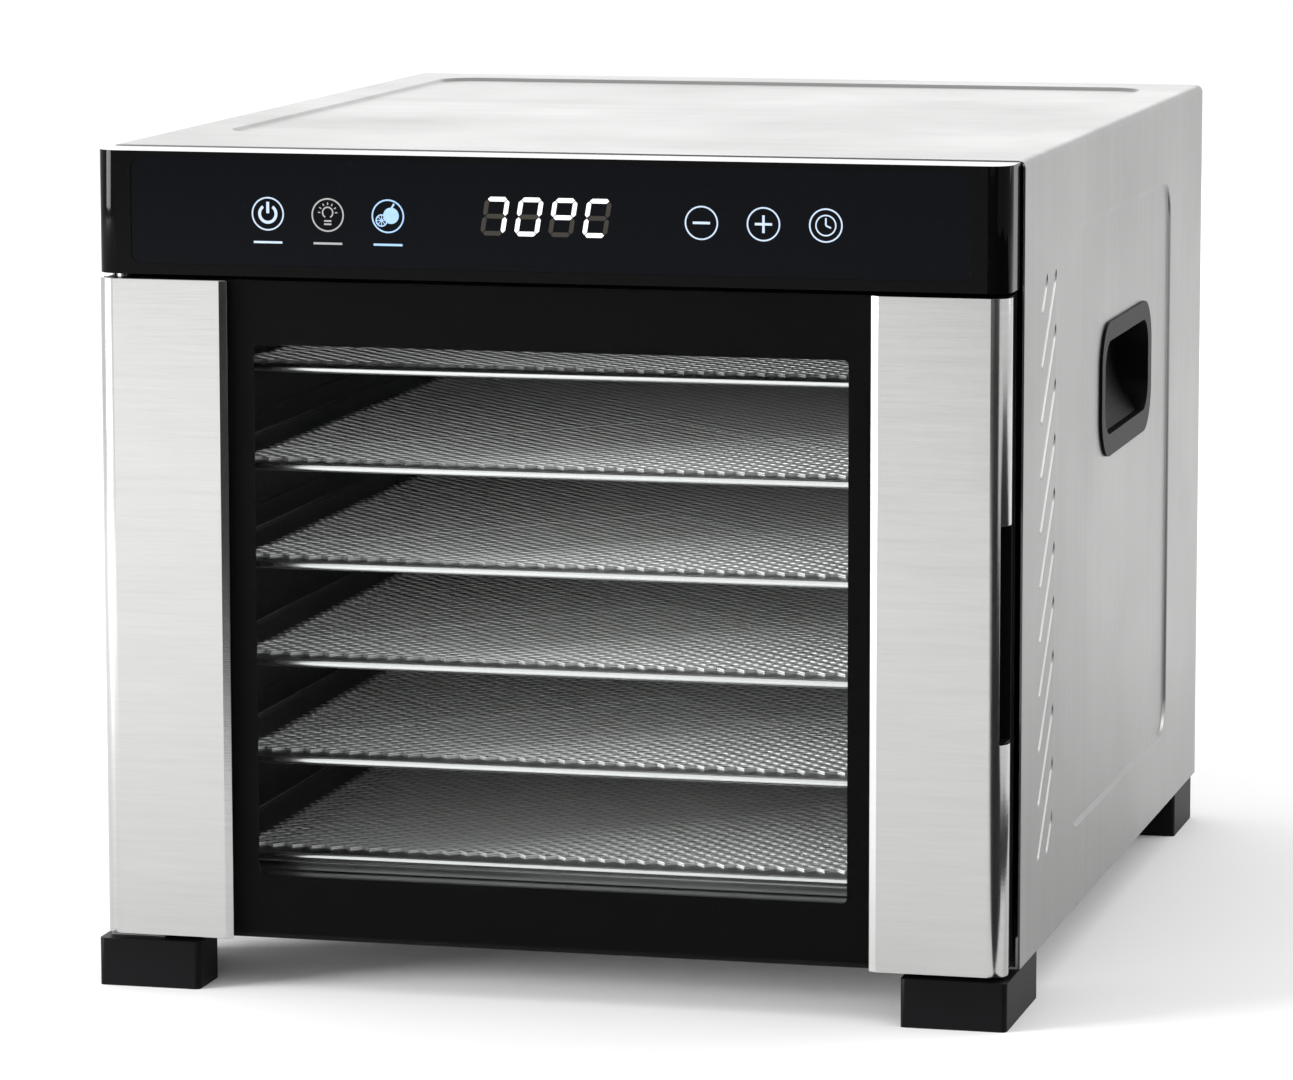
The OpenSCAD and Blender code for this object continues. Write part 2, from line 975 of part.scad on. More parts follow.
// Plan of the space inside the door between its front and rear faces
module door_plan(half, y0) {
  difference() {
    translate([-half, y0])
      square([2 * half, door_rear_y - y0]);
    translate([-half, door_rear_y - swing_r])
      square(swing_r);
  }
  translate([-half + swing_r, door_rear_y - swing_r])
    circle(swing_r);
}

module door_frame() {
  color(black)
    difference() {
      union() {
        along_z(door_z + frame_gap, door_top - frame_gap)
          door_plan(frame_half_w, glass_rear_y);
        for (side = [-1, 1])
          on_side(side)
            block([frame_shoulder_x, glass_y + frame_step, door_z + frame_gap],
                  [door_half_w - pillar_r, glass_rear_y, door_top - frame_gap]);
      }
      along_y(glass_rear_y - 1, door_rear_y + 1)
        round_rect(frame_open, 6);
      block([notch_x, glass_y - 2, notch[0]], [half_w, notch_rear_y, notch[1]]);
      for (z = magnet_z)
        magnet_block(z);
      along_y(door_rear_y - seal_t, door_rear_y + 1)
        ring(seal, seal_w, 6);
      hinge_pin_rods(pin_r);
    }
}

module door_glass() {
  color(glass_tint)
    along_y(glass_y, glass_rear_y)
      round_rect(glass, glass_r);
}

module door_pillar(side) {
  notched = side > 0;
  color(steel)
    difference() {
      on_side(side)
        along_z(door_z, door_top)
          pillar_plan();
      if (notched)
        block([door_half_w - pillar_r, notch_y, notch[0]], [half_w, front_y, notch[1]]);
    }
}

// Plan of a pillar: bevelled inner edge, flat front, rounded corner and a short return
module pillar_plan() {
  corner_x = door_half_w - pillar_r;
  corner_y = door_y + pillar_r;
  polygon([
    [pillar_in_x, glass_y],
    [pillar_in_x + pillar_bevel, door_y],
    [corner_x, door_y],
    [corner_x, glass_y]
  ]);
  difference() {
    translate([corner_x, corner_y])
      circle(pillar_r);
    translate([corner_x, corner_y])
      circle(pillar_r - pillar_t);
    translate([corner_x - 2 * pillar_r, door_y])
      square([2 * pillar_r, 2 * pillar_r]);
    translate([corner_x, corner_y])
      square(2 * pillar_r);
  }
  translate([door_half_w - pillar_t, corner_y])
    square([pillar_t, pillar_return_y - corner_y]);
}

module door_pillar_left() {
  door_pillar(-1);
}

module door_pillar_right() {
  door_pillar(1);
}

module door_seal() {
  color(silicone)
    along_y(door_rear_y - seal_t, door_rear_y + 0.15)
      ring(seal, seal_w, 6);
}

module magnet_block(z) {
  block([magnet_x - magnet[0] / 2, door_rear_y - magnet[1], z - magnet[2] / 2],
        [magnet_x + magnet[0] / 2, door_rear_y, z + magnet[2] / 2]);
}

module door_magnets() {
  color(dark_steel)
    for (z = magnet_z)
      magnet_block(z);
}

module hinge_pin_rods(r) {
  rod_z(hinge_x, hinge_y, r, door_top - pin_grip, upper_pin_top);
  rod_z(hinge_x, hinge_y, r, lower_pin_end, door_z + pin_grip);
}

module hinge_pins() {
  color(steel)
    hinge_pin_rods(pin_r);
}

module hinge_bushes() {
  color(brass)
    difference() {
      union() {
        rod_z(hinge_x, hinge_y, bush_r, bezel_z, upper_pin_top - 0.5);
        rod_z(hinge_x, hinge_y, bush_r, lower_pin_end - 1, foot_h + bracket_t);
      }
      hinge_pin_rods(pin_r + pin_clearance);
    }
}

module hinge_brackets() {
  upper_z = bezel_z + bezel_wall;
  upper_t = 1.5;
  upper_h = 18;
  inset = 2;
  color(steel)
    difference() {
      union() {
        block([bracket[0] + inset, bracket[1], upper_z], [bracket[2], frame_front_y, upper_z + upper_t]);
        block([bracket[0] + inset, frame_front_y - upper_t, upper_z],
              [bracket[2], frame_front_y, upper_z + upper_h]);
        block([bracket[0], bracket[1], foot_h], [bracket[2], bracket[3], foot_h + bracket_t]);
      }
      rod_z(hinge_x, hinge_y, bush_r, foot_h - 1, upper_z + 3);
    }
}

// ---- Trays ----

// Outline of the rolled edge: a rod along each side and a ball at each corner
module tray_roll(n) {
  z = tray_height(n);
  y0 = tray_front_y;
  y1 = tray_front_y + tray_d - 2 * roll_r;
  x1 = tray_half_w - roll_r;
  for (side = [-1, 1])
    rod_y(side * x1, z, roll_r, y0, y1);
  for (y = [y0, y1])
    along_x(-x1, x1)
      translate([y, z])
        circle(roll_r);
  for (x = [-x1, x1], y = [y0, y1])
    translate([x, y, z])
      sphere(roll_r);
}

function rim_box() = [-tray_half_w + roll_r, tray_front_y,
                      tray_half_w - roll_r, tray_front_y + tray_d - 2 * roll_r];

module tray_frame(n) {
  z = tray_height(n) - roll_r / 2;
  color(steel) {
    tray_roll(n);
    along_z(z, z + rim_t)
      difference() {
        round_rect(rim_box(), roll_r / 2);
        round_rect(grown(rim_box(), -rim_w), 4);
      }
  }
}

module tray_mesh(n) {
  z = tray_height(n) - roll_r / 2;
  color([0.7, 0.7, 0.7])
    along_z(z - mesh_t, z)
      round_rect(grown(rim_box(), -rim_w + 4), 4);
}

module drip_tray() {
  outer = [-drip_half_w, drip_front_y, drip_half_w, drip_front_y + drip_d];
  color(steel)
    difference() {
      along_z(drip_z, drip_z + drip_h)
        round_rect(outer, drip_r);
      along_z(drip_z + drip_t, drip_z + drip_h + 1)
        round_rect(grown(outer, -drip_t), drip_r - drip_t);
    }
}

// ---- What is drawn ----

casing();
base_pan();
rear_panel();
rear_vent_cover();
front_frame();
liner_left();
liner_right();
liner_top();
liner_floor();
tray_rails_left();
tray_rails_right();
fan_cover();
fan_motor();
motor_bracket();
fan_blade();
fan_shaft();
fan_nut();
heater_coil();
heater_supports();
thermal_cutout();
temperature_sensor();
uv_lamp();
uv_lamp_holders();
control_bezel();
touch_glass();
touch_board();
touch_springs();
display_module();
power_board();
handle_left();
handle_right();
front_feet();
rear_feet();
foot_screws();
rear_screws();
cable_gland();
hinge_brackets();
hinge_bushes();
hinge_pins();
door_frame();
door_glass();
door_pillar_left();
door_pillar_right();
door_seal();
door_magnets();
catch_plates();
drip_tray();
tray_frame(1);  // tray_frame_1
tray_frame(2);  // tray_frame_2
tray_frame(3);  // tray_frame_3
tray_frame(4);  // tray_frame_4
tray_frame(5);  // tray_frame_5
tray_frame(6);  // tray_frame_6
tray_mesh(1);  // tray_mesh_1
tray_mesh(2);  // tray_mesh_2
tray_mesh(3);  // tray_mesh_3
tray_mesh(4);  // tray_mesh_4
tray_mesh(5);  // tray_mesh_5
tray_mesh(6);  // tray_mesh_6
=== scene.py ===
# Food dehydrator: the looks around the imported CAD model.
# Shapes are drawn in millimetres and turned into metres when their mesh is made.
# +X is the right-hand side, -Y the front, +Z up, as in the CAD model.
from math import cos, pi, radians, sin, tan
import bmesh
import bpy
from mathutils import Matrix, Vector
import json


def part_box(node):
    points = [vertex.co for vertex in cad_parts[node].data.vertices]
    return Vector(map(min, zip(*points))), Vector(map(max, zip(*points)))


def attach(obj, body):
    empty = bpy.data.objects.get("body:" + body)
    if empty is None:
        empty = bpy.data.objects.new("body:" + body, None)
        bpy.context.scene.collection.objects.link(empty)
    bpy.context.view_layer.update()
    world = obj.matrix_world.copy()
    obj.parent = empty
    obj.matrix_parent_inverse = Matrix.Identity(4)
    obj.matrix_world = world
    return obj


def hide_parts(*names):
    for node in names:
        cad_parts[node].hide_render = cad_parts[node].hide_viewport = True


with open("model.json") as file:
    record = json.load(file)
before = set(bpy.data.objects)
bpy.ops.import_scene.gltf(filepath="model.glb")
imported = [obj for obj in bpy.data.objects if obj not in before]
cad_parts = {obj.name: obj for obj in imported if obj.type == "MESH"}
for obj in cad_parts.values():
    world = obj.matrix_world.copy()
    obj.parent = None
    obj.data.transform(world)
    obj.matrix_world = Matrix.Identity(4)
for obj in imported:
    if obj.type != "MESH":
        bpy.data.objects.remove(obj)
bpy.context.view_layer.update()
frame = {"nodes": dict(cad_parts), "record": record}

MM = 0.001
NODES = frame["nodes"]


def box_mm(node):
    """Lowest and highest corner of a CAD node, in millimetres."""
    low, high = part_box(node)
    return low / MM, high / MM


def add_object(name, data):
    """A new object in the scene that holds the given mesh, light or camera data."""
    made = bpy.data.objects.new(name, data)
    bpy.context.scene.collection.objects.link(made)
    return made


def finished_mesh(name, bm):
    """The mesh data drawn in bm, which is freed."""
    mesh = bpy.data.meshes.new(name)
    bm.to_mesh(mesh)
    bm.free()
    return mesh


def finish_with(piece, material):
    """Gives the piece this one material."""
    piece.data.materials.clear()
    piece.data.materials.append(material)


# ---- Camera, lights and floor ----

CAMERA_PLACE = Vector((0.5671, -2.3311, 0.4897))
CAMERA_YAW = radians(14.073)
CAMERA_PITCH = radians(8.212)
CAMERA_ROLL = radians(-0.085)
CAMERA_LENS = 167.69
SENSOR_WIDTH = 36
CAMERA_REACH = 60
FLOOR_HALF = 14
# Height of the dark cards above the floor, so that the two don't touch
CARD_LIFT = 0.004


def make_camera():
    """The camera, from its place, its turn from the front view, its look downwards and its slight roll."""
    back = Vector((
        sin(CAMERA_YAW) * cos(CAMERA_PITCH),
        -cos(CAMERA_YAW) * cos(CAMERA_PITCH),
        sin(CAMERA_PITCH),
    ))
    level = (-back).cross(Vector((0, 0, 1))).normalized()
    upright = level.cross(-back)
    across = cos(CAMERA_ROLL) * level + sin(CAMERA_ROLL) * upright
    up = -sin(CAMERA_ROLL) * level + cos(CAMERA_ROLL) * upright
    camera = add_object("camera", bpy.data.cameras.new("camera"))
    camera.data.lens = CAMERA_LENS
    camera.data.sensor_width = SENSOR_WIDTH
    camera.data.clip_end = CAMERA_REACH
    turn = Matrix((across, up, back)).transposed().to_4x4()
    camera.matrix_world = Matrix.Translation(CAMERA_PLACE) @ turn
    bpy.context.scene.camera = camera


def softbox(name, place, target, width, height, power):
    """A rectangular area light that faces a target point. Places are in metres."""
    light = bpy.data.lights.new(name, "AREA")
    light.shape = "RECTANGLE"
    light.size = width
    light.size_y = height
    light.energy = power
    lamp = add_object(name, light)
    lamp.location = place
    aim = Vector(target) - Vector(place)
    lamp.rotation_euler = aim.to_track_quat("-Z", "Y").to_euler()
    lamp.visible_camera = False


def make_world(strength):
    """An even white surround."""
    world = bpy.data.worlds.new("studio")
    world.use_nodes = True
    background = world.node_tree.nodes["Background"]
    background.inputs["Color"].default_value = (1.0, 1.0, 1.0, 1)
    background.inputs["Strength"].default_value = strength
    bpy.context.scene.world = world


def stage_sheet(name, corners, material):
    """One flat face that belongs to the studio and not to the object."""
    bm = bmesh.new()
    bm.faces.new([bm.verts.new(corner) for corner in corners])
    sheet = add_object(name, finished_mesh(name, bm))
    finish_with(sheet, material)
    return sheet


def make_floor():
    """The pale floor at Z = 0."""
    half = FLOOR_HALF
    corners = ((-half, -half, 0), (half, -half, 0), (half, half, 0), (-half, half, 0))
    stage_sheet("floor", corners, floor_finish())


def dark_card(name, start, end, height, depth):
    """A dark card that only shows in mirrored surfaces. It stands on the line from start to end, or lies on
    the floor behind that line where height is 0. Sizes are in metres."""
    corners = (
        (start[0], start[1], CARD_LIFT),
        (end[0], end[1], CARD_LIFT),
        (end[0], end[1] + depth, CARD_LIFT + height),
        (start[0], start[1] + depth, CARD_LIFT + height),
    )
    card = stage_sheet(name, corners, card_finish())
    for ray in ("camera", "diffuse", "transmission", "volume_scatter", "shadow"):
        setattr(card, "visible_" + ray, False)


# ---- Material building blocks ----

def feed(tree, node, inputs):
    """An input that is given a socket is linked to it, and any other gets the value."""
    for key, value in inputs.items():
        if isinstance(value, bpy.types.NodeSocket):
            tree.links.new(value, node.inputs[key])
        else:
            node.inputs[key].default_value = value


def add(tree, kind, inputs=None, **settings):
    """Adds a node with these settings and inputs."""
    node = tree.nodes.new(kind)
    for key, value in settings.items():
        setattr(node, key, value)
    feed(tree, node, inputs or {})
    return node


def new_material(name, **constants):
    """A material with its Principled shader; constants go on the shader's own sockets."""
    material = bpy.data.materials.new(name)
    material.use_nodes = True
    tree = material.node_tree
    shader = tree.nodes["Principled BSDF"]
    for key, value in constants.items():
        shader.inputs[key.replace("_", " ")].default_value = value
    return material, tree, shader


def rgb(grey, tint=(1, 1, 1)):
    """A grey of this strength, tinted, as a colour socket takes it."""
    return (grey * tint[0], grey * tint[1], grey * tint[2], 1)


def noise(tree, scale, detail=2, roughness=0.5, coords=None):
    """Noise over object coordinates; scale is cycles per metre along X, Y and Z."""
    if coords is None:
        coords = add(tree, "ShaderNodeTexCoord").outputs["Object"]
    mapped = add(tree, "ShaderNodeMapping", {"Vector": coords, "Scale": scale})
    texture = add(tree, "ShaderNodeTexNoise", {
        "Vector": mapped.outputs["Vector"],
        "Scale": 1.0,
        "Detail": detail,
        "Roughness": roughness,
    })
    return texture.outputs["Fac"]


def ranged(tree, value, low, high, from_low=0.3, from_high=0.7):
    """value stretched from from_low..from_high to low..high."""
    node = add(tree, "ShaderNodeMapRange", {
        "Value": value,
        "From Min": from_low,
        "From Max": from_high,
        "To Min": low,
        "To Max": high,
    })
    return node.outputs["Result"]


def math(tree, operation, a, b):
    """The result of a two-input math node."""
    return add(tree, "ShaderNodeMath", {0: a, 1: b}, operation=operation).outputs[0]


def colour_mix(tree, share, colour_a, colour_b):
    """A mix of two colours. The mix node keeps its colour inputs at 6 and 7, and its colour output at 2."""
    node = add(tree, "ShaderNodeMix", data_type="RGBA")
    feed(tree, node, {0: share, 6: colour_a, 7: colour_b})
    return node.outputs[2]


def bump(tree, height, strength, distance):
    """A normal raised by height over distance metres."""
    node = add(tree, "ShaderNodeBump", {"Height": height, "Strength": strength, "Distance": distance})
    return node.outputs["Normal"]


def worn_edges(tree, low=0.52, high=0.6):
    """1 along convex edges, 0 elsewhere."""
    pointiness = add(tree, "ShaderNodeNewGeometry").outputs["Pointiness"]
    return ranged(tree, pointiness, 0.0, 1.0, low, high)


# ---- Materials ----

# The slightly warm tint of stainless steel
WARM = (1, 0.995, 0.985)


def floor_finish():
    """Pale matt floor with a faint cloud in its tone."""
    material, tree, shader = new_material("pale_floor", Roughness=0.85)
    cloud = noise(tree, (1.5, 1.5, 1.5), detail=3)
    colour = colour_mix(tree, cloud, rgb(0.88), rgb(0.92))
    tree.links.new(colour, shader.inputs["Base Color"])
    return material


def card_finish():
    """Black card with a faint weave."""
    material, tree, shader = new_material("dark_card", Roughness=0.9, Specular_IOR_Level=0.0)
    weave = noise(tree, (200, 200, 200), detail=2)
    tree.links.new(colour_mix(tree, weave, rgb(0.02), rgb(0.04)), shader.inputs["Base Color"])
    return material


def steel(name, grey, roughness, across, grain=0.25, streak_length=60, streak_width=0.35, metallic=1.0):
    """Ground stainless steel. Its grain is fine across one axis ("X", "Y" or "Z") and long on the others."""
    material, tree, shader = new_material(name, Metallic=metallic)
    fine = 1 / (streak_width * MM)
    slow = 1 / (streak_length * MM)
    fine_scale = tuple(fine if axis == across else slow for axis in "XYZ")
    broad_scale = tuple(fine / 7 if axis == across else slow / 3 for axis in "XYZ")
    streaks = noise(tree, fine_scale, detail=3, roughness=0.6)
    bands = noise(tree, broad_scale, detail=2)
    smudges = noise(tree, (9, 9, 9), detail=4, roughness=0.55)
    shade = math(tree, "ADD", math(tree, "MULTIPLY", streaks, 0.6), math(tree, "MULTIPLY", bands, 0.4))
    colour = colour_mix(
        tree,
        ranged(tree, shade, 0.0, 1.0),
        rgb(grey * (1 - grain * 0.35), WARM),
        rgb(min(1, grey * (1 + grain * 0.3)), WARM),
    )
    base_roughness = ranged(tree, shade, roughness * (1 + grain * 0.5), roughness * (1 - grain * 0.5))
    handled = ranged(tree, smudges, -0.03, 0.05)
    tree.links.new(colour, shader.inputs["Base Color"])
    tree.links.new(math(tree, "ADD", base_roughness, handled), shader.inputs["Roughness"])
    tree.links.new(bump(tree, streaks, grain, 0.0001), shader.inputs["Normal"])
    return material


def coated_sheet(name, grey, roughness, speckle=0.35):
    """Matt coated or galvanised sheet with a fine mottle."""
    material, tree, shader = new_material(name, Metallic=0.6)
    fine = noise(tree, (900, 900, 900), detail=3)
    patches = noise(tree, (45, 45, 45), detail=4, roughness=0.6)
    shade = math(tree, "ADD", math(tree, "MULTIPLY", fine, 0.35), math(tree, "MULTIPLY", patches, 0.65))
    colour = colour_mix(tree, ranged(tree, shade, 0, 1), rgb(grey * (1 - speckle)), rgb(grey * (1 + speckle)))
    tree.links.new(colour, shader.inputs["Base Color"])
    tree.links.new(ranged(tree, fine, roughness - 0.06, roughness + 0.08), shader.inputs["Roughness"])
    tree.links.new(bump(tree, fine, 0.15, 0.00005), shader.inputs["Normal"])
    return material


def moulded_plastic(name, colour, roughness, grain=0.3, grain_size=0.5, specular=0.35, edge=1.6):
    """Moulded plastic with a fine spark-eroded grain and slightly rubbed edges."""
    material, tree, shader = new_material(name, Specular_IOR_Level=specular)
    cells = 1 / (grain_size * MM)
    pits = noise(tree, (cells, cells, cells), detail=2, roughness=0.6)
    clouds = noise(tree, (30, 30, 30), detail=3)
    plain = colour_mix(tree, ranged(tree, clouds, 0, 1), rgb(0.85, colour), rgb(1.15, colour))
    rubbed = colour_mix(tree, worn_edges(tree), plain, rgb(edge, colour))
    tree.links.new(rubbed, shader.inputs["Base Color"])
    surface = ranged(tree, pits, roughness - 0.05, roughness + 0.07)
    tree.links.new(surface, shader.inputs["Roughness"])
    tree.links.new(bump(tree, pits, grain, 0.00006), shader.inputs["Normal"])
    return material


def polished_black(name, grey, roughness, specular, tint=(1, 1, 1.15)):
    """Polished black surface with faint wiping marks in its gloss."""
    material, tree, shader = new_material(name, Specular_IOR_Level=specular)
    wiped = noise(tree, (60, 14, 40), detail=4, roughness=0.6)
    dust = noise(tree, (700, 700, 700), detail=1)
    colour = colour_mix(tree, ranged(tree, dust, 0, 1, 0.6, 0.8), rgb(grey, tint), rgb(grey * 1.5, tint))
    tree.links.new(colour, shader.inputs["Base Color"])
    tree.links.new(ranged(tree, wiped, roughness * 0.6, roughness * 1.6), shader.inputs["Roughness"])
    tree.links.new(bump(tree, wiped, 0.02, 0.0002), shader.inputs["Normal"])
    return material


def clear_glass(name, tint, gloss):
    """Thin clear glass: light goes straight through, and the rest is mirrored by Fresnel."""
    material = bpy.data.materials.new(name)
    material.use_nodes = True
    tree = material.node_tree
    tree.nodes.remove(tree.nodes["Principled BSDF"])
    smears = noise(tree, (18, 18, 30), detail=4, roughness=0.6)
    through = add(tree, "ShaderNodeBsdfTransparent", {"Color": tint})
    mirror = add(tree, "ShaderNodeBsdfGlossy", {"Roughness": ranged(tree, smears, 0.0, 0.06)})
    fresnel = add(tree, "ShaderNodeFresnel", {"IOR": 1.45}).outputs["Fac"]
    share = math(tree, "MULTIPLY", fresnel, gloss)
    mix = add(tree, "ShaderNodeMixShader", {0: share, 1: through.outputs[0], 2: mirror.outputs[0]})
    tree.links.new(mix.outputs[0], tree.nodes["Material Output"].inputs["Surface"])
    return material


def printed_black(name):
    """The black border fired on to the back of the glass."""
    material, tree, shader = new_material(name, Specular_IOR_Level=0.02)
    specks = noise(tree, (400, 400, 400), detail=2)
    tree.links.new(colour_mix(tree, specks, rgb(0.0012), rgb(0.002)), shader.inputs["Base Color"])
    tree.links.new(ranged(tree, specks, 0.35, 0.5), shader.inputs["Roughness"])
    return material


def lit(name, colour, strength):
    """A segment with a slightly uneven glow: a backlight on lit keys, a painted glow on the print and unlit
    digits.
    """
    material, tree, shader = new_material(name, Roughness=0.5, Specular_IOR_Level=0.2)
    shader.inputs["Base Color"].default_value = rgb(0.002)
    glow = noise(tree, (500, 500, 500), detail=1)
    tree.links.new(
        colour_mix(tree, ranged(tree, glow, 0, 1), rgb(0.92, colour), rgb(1.0, colour)),
        shader.inputs["Emission Color"],
    )
    shader.inputs["Emission Strength"].default_value = strength
    return material


def metal(name, colour, roughness, mottle=0.25):
    """Plain metal with a mottled tone."""
    material, tree, shader = new_material(name, Metallic=1.0)
    patches = noise(tree, (140, 140, 140), detail=4, roughness=0.6)
    tree.links.new(
        colour_mix(tree, ranged(tree, patches, 0, 1), rgb(1 - mottle, colour), rgb(1 + mottle * 0.5, colour)),
        shader.inputs["Base Color"],
    )
    tree.links.new(ranged(tree, patches, roughness - 0.08, roughness + 0.08), shader.inputs["Roughness"])
    tree.links.new(bump(tree, patches, 0.1, 0.0001), shader.inputs["Normal"])
    return material


def soft_matter(name, colour, roughness, grain_size=0.8):
    """Silicone, mica and solder mask: a plain body colour with a fine mottle."""
    material, tree, shader = new_material(name, Specular_IOR_Level=0.3)
    cells = 1 / (grain_size * MM)
    grains = noise(tree, (cells, cells, cells), detail=3)
    patches = noise(tree, (60, 60, 60), detail=3)
    shade = math(tree, "MULTIPLY", math(tree, "ADD", grains, patches), 0.5)
    tree.links.new(
        colour_mix(tree, ranged(tree, shade, 0, 1), rgb(0.8, colour), rgb(1.2, colour)),
        shader.inputs["Base Color"],
    )
    tree.links.new(ranged(tree, grains, roughness - 0.05, roughness + 0.1), shader.inputs["Roughness"])
    tree.links.new(bump(tree, grains, 0.2, 0.00008), shader.inputs["Normal"])
    return material


FINISHES = {
    "brushed_sheet": steel("brushed_sheet", 0.27, 0.34, "Y", grain=0.12, streak_length=160, streak_width=0.7),
    "zinc_sheet": coated_sheet("zinc_sheet", 0.42, 0.45, speckle=0.2),
    "chamber_steel": coated_sheet("chamber_steel", 0.05, 0.42, speckle=0.3),
    "plain_steel": steel("plain_steel", 0.30, 0.4, "Y", grain=0.3),
    "black_plastic": moulded_plastic("black_plastic", (0.003, 0.003, 0.0034), 0.42, specular=0.05),
    "gloss_black": polished_black("gloss_black", 0.0015, 0.06, 0.05),
    "panel_glass": polished_black("panel_glass", 0.0015, 0.03, 0.05, tint=(1, 1.15, 1.7)),
    "door_glass": clear_glass("door_glass", (0.94, 0.95, 0.95, 1), 0.05),
    "pillar_steel": steel("pillar_steel", 0.46, 0.16, "Z", grain=0.18, streak_length=20, streak_width=0.3),
    "silicone": soft_matter("silicone", (0.02, 0.02, 0.022), 0.6),
    "magnet": metal("magnet", (0.16, 0.16, 0.17), 0.5),
    "motor_iron": metal("motor_iron", (0.3, 0.3, 0.31), 0.55),
    "brass": metal("brass", (0.72, 0.55, 0.28), 0.35),
    "heater_wire": metal("heater_wire", (0.22, 0.18, 0.15), 0.6),
    "mica": soft_matter("mica", (0.62, 0.52, 0.36), 0.5),
    "lamp_glass": clear_glass("lamp_glass", (0.93, 0.95, 0.98, 1), 1.0),
    "circuit_board": soft_matter("circuit_board", (0.03, 0.16, 0.07), 0.35, grain_size=0.3),
    "display": polished_black("display", 0.01, 0.1, 0.3),
    "tray_steel": steel("tray_steel", 0.85, 0.2, "Y", grain=0.2, streak_length=40, streak_width=0.3),
    "mesh_steel": steel(
        "mesh_steel", 0.98, 0.45, "Y", grain=0.15, streak_length=6, streak_width=0.4, metallic=0.6
    ),
}


# ---- Mesh building blocks ----

# Points closer than this, in millimetres, are one point
WELD_GAP = 1e-4


def round_rect(low, high, radius, steps=8):
    """Outline of a rounded rectangle as (u, v) points, anticlockwise."""
    centres = (
        (high[0] - radius, low[1] + radius, -90),
        (high[0] - radius, high[1] - radius, 0),
        (low[0] + radius, high[1] - radius, 90),
        (low[0] + radius, low[1] + radius, 180),
    )
    points = []
    for u, v, start in centres:
        for i in range(steps + 1):
            angle = radians(start + 90 * i / steps)
            points.append((u + radius * cos(angle), v + radius * sin(angle)))
    return points


def ring_edges(bm, verts):
    """New edges that close the points into a ring."""
    return [bm.edges.new((verts[i - 1], verts[i])) for i in range(len(verts))]


def bridge(bm, loop_a, loop_b):
    """Quads between two closed loops with the same number of points."""
    for i in range(len(loop_a)):
        bm.faces.new((loop_a[i - 1], loop_a[i], loop_b[i], loop_b[i - 1]))


def strip(bm, row_a, row_b):
    """Quads, or triangles where the rows share a point, between two open rows."""
    for i in range(1, len(row_a)):
        corners = [row_a[i - 1], row_a[i], row_b[i], row_b[i - 1]]
        kept = [v for k, v in enumerate(corners) if v not in corners[:k]]
        if len(kept) > 2:
            bm.faces.new(kept)


def settle(name, bm, body, slot, sharp_angle=35, thickness=0):
    """Makes the piece from a mesh drawn in millimetres, thickens it inwards, and rides it on a body."""
    bmesh.ops.remove_doubles(bm, verts=bm.verts, dist=WELD_GAP)
    bmesh.ops.recalc_face_normals(bm, faces=bm.faces)
    bmesh.ops.scale(bm, vec=(MM, MM, MM), verts=bm.verts)
    piece = add_object(name, finished_mesh(name, bm))
    if thickness:
        thicken(piece, thickness, even=True)
    piece.data.shade_smooth()
    piece.data.set_sharp_from_angle(angle=radians(sharp_angle))
    piece.data.materials.append(FINISHES[slot])
    weigh_normals(piece)
    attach(piece, body)
    return piece


def thicken(piece, thickness, even):
    """Grows the piece's surface inwards into a sheet of this thickness in millimetres."""
    solidify = piece.modifiers.new("sheet", "SOLIDIFY")
    solidify.thickness = thickness * MM
    solidify.offset = -1
    solidify.use_even_offset = even
    depsgraph = bpy.context.evaluated_depsgraph_get()
    mesh = bpy.data.meshes.new_from_object(piece.evaluated_get(depsgraph))
    piece.modifiers.clear()
    piece.data = mesh


def weigh_normals(piece):
    """Keeps large flat faces flat in the shading, next to small rounded ones."""
    modifier = piece.modifiers.new("flat faces", "WEIGHTED_NORMAL")
    modifier.keep_sharp = True
    modifier.weight = 100


# ---- Casing: one bent sheet with pressed fields, louvres and handle openings ----

SHEET = 0.8
BEND = 3
FIELD_DEPTH = 1.2
FIELD_RADIUS = 15
# Corners of the pressed fields: Y from the front edge and Z on the sides, X and Y from the front on the top
SIDE_FIELD = ((105, 49.5), (331, 281))
TOP_FIELD = ((-153, 70), (153, 388))
# The handle's flange covers this much of the sheet round its opening
HANDLE_FLANGE = 3
LOUVRE_WIDTH = 5
LOUVRE_DEPTH = 3.2
LOUVRE_PITCH = 20.4
LOUVRE_ANGLE = radians(48)
# The row of louvres, between these heights and these distances from the front edge
LOUVRE_RISE = (50.3, 268.5)
LOUVRE_REACH = (34.9, 65.5)
# Section across a louvre: share of its width from the root, and share of its full depth
LOUVRE_PROFILE = ((0, 0), (0.1, 0.03), (0.25, 0.16), (0.88, 1))

casing_low, casing_high = box_mm("casing")


def louvre_spans():
    """Lower front and upper rear end of each louvre, as (y, z) pairs, cut off at the ends of the row."""
    front = casing_low.y + LOUVRE_REACH[0]
    run = LOUVRE_REACH[1] - LOUVRE_REACH[0]
    rows = int((LOUVRE_RISE[1] - LOUVRE_RISE[0]) / LOUVRE_PITCH) + 1
    for row in range(-1, rows):
        top = LOUVRE_RISE[1] - row * LOUVRE_PITCH
        low = top - run * tan(LOUVRE_ANGLE)
        z_low = max(low, LOUVRE_RISE[0])
        z_high = min(top, LOUVRE_RISE[1])
        yield (
            (front + (z_low - low) / tan(LOUVRE_ANGLE), z_low),
            (front + (z_high - low) / tan(LOUVRE_ANGLE), z_high),
        )


